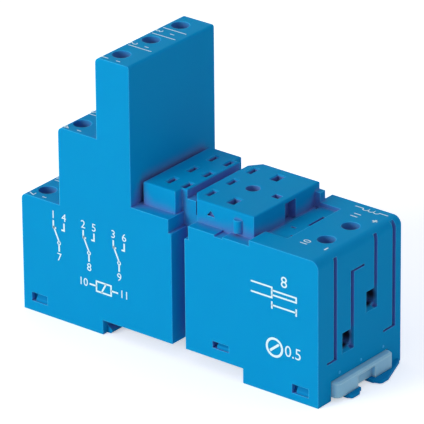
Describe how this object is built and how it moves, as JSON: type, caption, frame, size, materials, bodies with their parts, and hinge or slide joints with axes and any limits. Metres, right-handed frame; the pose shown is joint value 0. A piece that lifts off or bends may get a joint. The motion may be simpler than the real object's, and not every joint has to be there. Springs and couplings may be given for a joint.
{
  "type": "relay socket",
  "caption": "Stepped screw-terminal relay socket for a 35 mm rail, with rising-cage clamps, plug-in relay seat and a sprung rail latch.",
  "frame": {"origin": "centre of the recess ceiling that rests on the rail, in the middle of the module's width", "axes": "+X along the socket from the stepped end to the coil end, +Y across it, +Z away from the rail"},
  "size_m": [0.077, 0.027, 0.0606],
  "materials": {
    "blue_plastic": "satin moulded",
    "cover_plastic": "satin moulded",
    "clear_nylon": "translucent",
    "spring_steel": "bright",
    "tinned_brass": "satin",
    "plated_steel": "zinc plated",
    "screw_steel": "zinc plated"
  },
  "bodies": {
    "socket_body": {"housing": "blue_plastic", "left_base_cover": "cover_plastic", "right_base_cover": "cover_plastic", "latch_spring": "spring_steel", "contact_common_1": "tinned_brass", "contact_make_1": "tinned_brass", "contact_break_1": "tinned_brass", "contact_common_2": "tinned_brass", "contact_make_2": "tinned_brass", "contact_break_2": "tinned_brass", "contact_common_3": "tinned_brass", "contact_make_3": "tinned_brass", "contact_break_3": "tinned_brass", "contact_coil_1": "tinned_brass", "contact_coil_2": "tinned_brass"},
    "rail_latch": {"rail_latch": "clear_nylon"},
    "screw_common_1": {"screw_common_1": "screw_steel"},
    "cage_common_1": {"cage_common_1": "plated_steel"},
    "screw_make_1": {"screw_make_1": "screw_steel"},
    "cage_make_1": {"cage_make_1": "plated_steel"},
    "screw_break_1": {"screw_break_1": "screw_steel"},
    "cage_break_1": {"cage_break_1": "plated_steel"},
    "screw_common_2": {"screw_common_2": "screw_steel"},
    "cage_common_2": {"cage_common_2": "plated_steel"},
    "screw_make_2": {"screw_make_2": "screw_steel"},
    "cage_make_2": {"cage_make_2": "plated_steel"},
    "screw_break_2": {"screw_break_2": "screw_steel"},
    "cage_break_2": {"cage_break_2": "plated_steel"},
    "screw_common_3": {"screw_common_3": "screw_steel"},
    "cage_common_3": {"cage_common_3": "plated_steel"},
    "screw_make_3": {"screw_make_3": "screw_steel"},
    "cage_make_3": {"cage_make_3": "plated_steel"},
    "screw_break_3": {"screw_break_3": "screw_steel"},
    "cage_break_3": {"cage_break_3": "plated_steel"},
    "screw_coil_1": {"screw_coil_1": "screw_steel"},
    "cage_coil_1": {"cage_coil_1": "plated_steel"},
    "screw_coil_2": {"screw_coil_2": "screw_steel"},
    "cage_coil_2": {"cage_coil_2": "plated_steel"}
  },
  "joints": [
    {"name": "latch_slide", "type": "slide", "parent": "socket_body", "child": "rail_latch", "axis": [1, 0, 0], "range_m": [0, 0.004], "stiffness_N_per_m": 1500, "springref_m": -0.001, "deforming": ["latch_spring"]},
    {"name": "cage_common_1_rise", "type": "slide", "parent": "socket_body", "child": "cage_common_1", "axis": [0, 0, 1], "range_m": [0, 0.003]},
    {"name": "screw_common_1_turn", "type": "hinge", "parent": "socket_body", "child": "screw_common_1", "pos_m": [-0.03525, -0.0093, 0.0125], "axis": [0, 0, -1], "range_deg": [0, 2160]},
    {"name": "cage_make_1_rise", "type": "slide", "parent": "socket_body", "child": "cage_make_1", "axis": [0, 0, 1], "range_m": [0, 0.003]},
    {"name": "screw_make_1_turn", "type": "hinge", "parent": "socket_body", "child": "screw_make_1", "pos_m": [-0.02575, -0.0093, 0.0297], "axis": [0, 0, -1], "range_deg": [0, 2160]},
    {"name": "cage_break_1_rise", "type": "slide", "parent": "socket_body", "child": "cage_break_1", "axis": [0, 0, 1], "range_m": [0, 0.003]},
    {"name": "screw_break_1_turn", "type": "hinge", "parent": "socket_body", "child": "screw_break_1", "pos_m": [-0.01535, -0.0093, 0.0474], "axis": [0, 0, -1], "range_deg": [0, 2160]},
    {"name": "cage_common_2_rise", "type": "slide", "parent": "socket_body", "child": "cage_common_2", "axis": [0, 0, 1], "range_m": [0, 0.003]},
    {"name": "screw_common_2_turn", "type": "hinge", "parent": "socket_body", "child": "screw_common_2", "pos_m": [-0.03525, 0, 0.0125], "axis": [0, 0, -1], "range_deg": [0, 2160]},
    {"name": "cage_make_2_rise", "type": "slide", "parent": "socket_body", "child": "cage_make_2", "axis": [0, 0, 1], "range_m": [0, 0.003]},
    {"name": "screw_make_2_turn", "type": "hinge", "parent": "socket_body", "child": "screw_make_2", "pos_m": [-0.02575, 0, 0.0297], "axis": [0, 0, -1], "range_deg": [0, 2160]},
    {"name": "cage_break_2_rise", "type": "slide", "parent": "socket_body", "child": "cage_break_2", "axis": [0, 0, 1], "range_m": [0, 0.003]},
    {"name": "screw_break_2_turn", "type": "hinge", "parent": "socket_body", "child": "screw_break_2", "pos_m": [-0.01535, 0, 0.0474], "axis": [0, 0, -1], "range_deg": [0, 2160]},
    {"name": "cage_common_3_rise", "type": "slide", "parent": "socket_body", "child": "cage_common_3", "axis": [0, 0, 1], "range_m": [0, 0.003]},
    {"name": "screw_common_3_turn", "type": "hinge", "parent": "socket_body", "child": "screw_common_3", "pos_m": [-0.03525, 0.0093, 0.0125], "axis": [0, 0, -1], "range_deg": [0, 2160]},
    {"name": "cage_make_3_rise", "type": "slide", "parent": "socket_body", "child": "cage_make_3", "axis": [0, 0, 1], "range_m": [0, 0.003]},
    {"name": "screw_make_3_turn", "type": "hinge", "parent": "socket_body", "child": "screw_make_3", "pos_m": [-0.02575, 0.0093, 0.0297], "axis": [0, 0, -1], "range_deg": [0, 2160]},
    {"name": "cage_break_3_rise", "type": "slide", "parent": "socket_body", "child": "cage_break_3", "axis": [0, 0, 1], "range_m": [0, 0.003]},
    {"name": "screw_break_3_turn", "type": "hinge", "parent": "socket_body", "child": "screw_break_3", "pos_m": [-0.01535, 0.0093, 0.0474], "axis": [0, 0, -1], "range_deg": [0, 2160]},
    {"name": "cage_coil_1_rise", "type": "slide", "parent": "socket_body", "child": "cage_coil_1", "axis": [0, 0, 1], "range_m": [0, 0.003]},
    {"name": "screw_coil_1_turn", "type": "hinge", "parent": "socket_body", "child": "screw_coil_1", "pos_m": [0.0313, -0.0039, 0.0107], "axis": [0, 0, -1], "range_deg": [0, 2160]},
    {"name": "cage_coil_2_rise", "type": "slide", "parent": "socket_body", "child": "cage_coil_2", "axis": [0, 0, 1], "range_m": [0, 0.003]},
    {"name": "screw_coil_2_turn", "type": "hinge", "parent": "socket_body", "child": "screw_coil_2", "pos_m": [0.0313, 0.0039, 0.0167], "axis": [0, 0, -1], "range_deg": [0, 2160]}
  ],
  "couplings": [
    {"joint": "screw_common_1_turn", "follows": "cage_common_1_rise", "rad_per_m": 12566},
    {"joint": "screw_make_1_turn", "follows": "cage_make_1_rise", "rad_per_m": 12566},
    {"joint": "screw_break_1_turn", "follows": "cage_break_1_rise", "rad_per_m": 12566},
    {"joint": "screw_common_2_turn", "follows": "cage_common_2_rise", "rad_per_m": 12566},
    {"joint": "screw_make_2_turn", "follows": "cage_make_2_rise", "rad_per_m": 12566},
    {"joint": "screw_break_2_turn", "follows": "cage_break_2_rise", "rad_per_m": 12566},
    {"joint": "screw_common_3_turn", "follows": "cage_common_3_rise", "rad_per_m": 12566},
    {"joint": "screw_make_3_turn", "follows": "cage_make_3_rise", "rad_per_m": 12566},
    {"joint": "screw_break_3_turn", "follows": "cage_break_3_rise", "rad_per_m": 12566},
    {"joint": "screw_coil_1_turn", "follows": "cage_coil_1_rise", "rad_per_m": 12566},
    {"joint": "screw_coil_2_turn", "follows": "cage_coil_2_rise", "rad_per_m": 12566}
  ]
}
